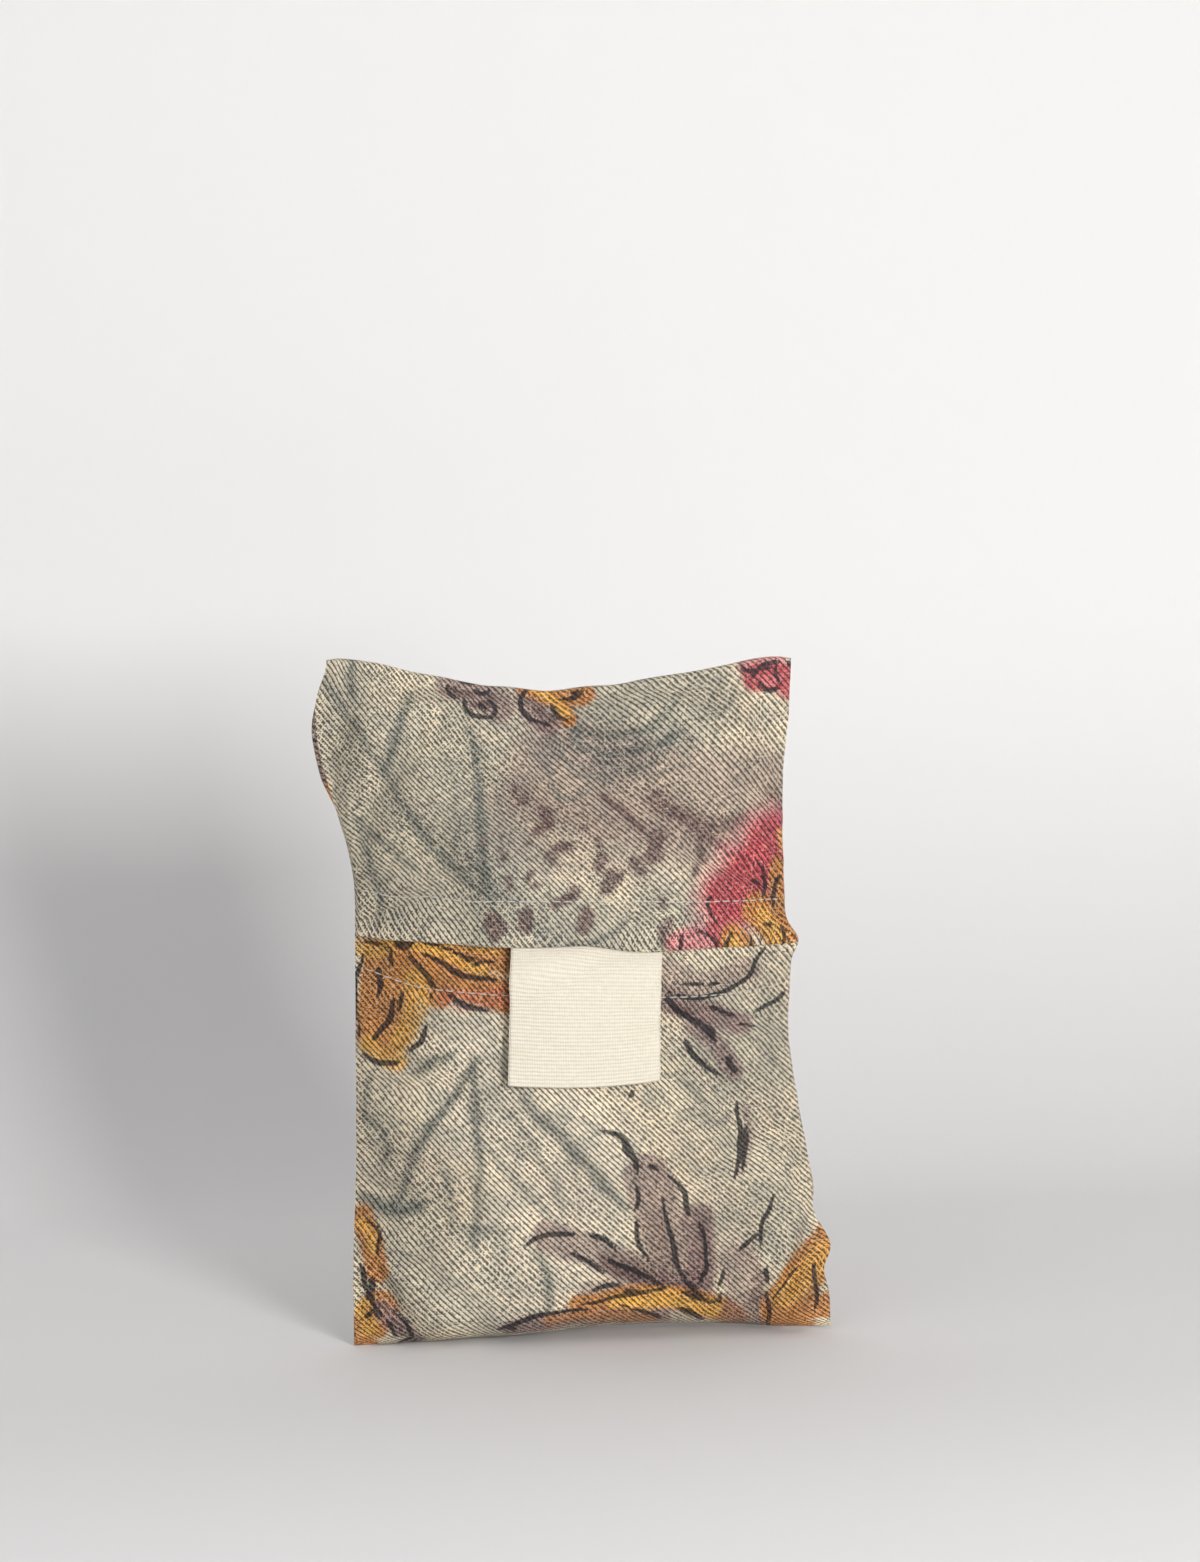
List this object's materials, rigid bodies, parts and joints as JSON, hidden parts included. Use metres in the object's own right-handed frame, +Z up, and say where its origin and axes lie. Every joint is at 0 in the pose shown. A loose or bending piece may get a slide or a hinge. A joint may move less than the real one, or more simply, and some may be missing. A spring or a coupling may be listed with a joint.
{
  "type": "reusable shopping bag",
  "caption": "Soft printed-cloth pouch with a lapped flap and a sewn tape label, standing upright and holding its reusable shopping bag folded up inside.",
  "frame": {"origin": "on the floor, under the middle of the overall box", "axes": "+Z up from the bottom to the top fold, -Y out of the front with the flap, +X to the viewer's right"},
  "size_m": [0.1126, 0.038, 0.147],
  "materials": {
    "printed_cloth": "soft woven cloth with a floral print",
    "label_tape": "matte ribbed cotton tape",
    "sewing_thread": "twisted thread",
    "bag_cloth": "soft woven cloth with a floral print",
    "handle_strap": "soft woven cloth"
  },
  "bodies": {
    "root": {"pouch_cloth": "printed_cloth", "sewn_label": "label_tape", "flap_hem_thread": "sewing_thread", "pocket_hem_thread": "sewing_thread", "folded_bag": "bag_cloth", "bag_handle_left": "handle_strap", "bag_handle_right": "handle_strap"}
  },
  "joints": []
}
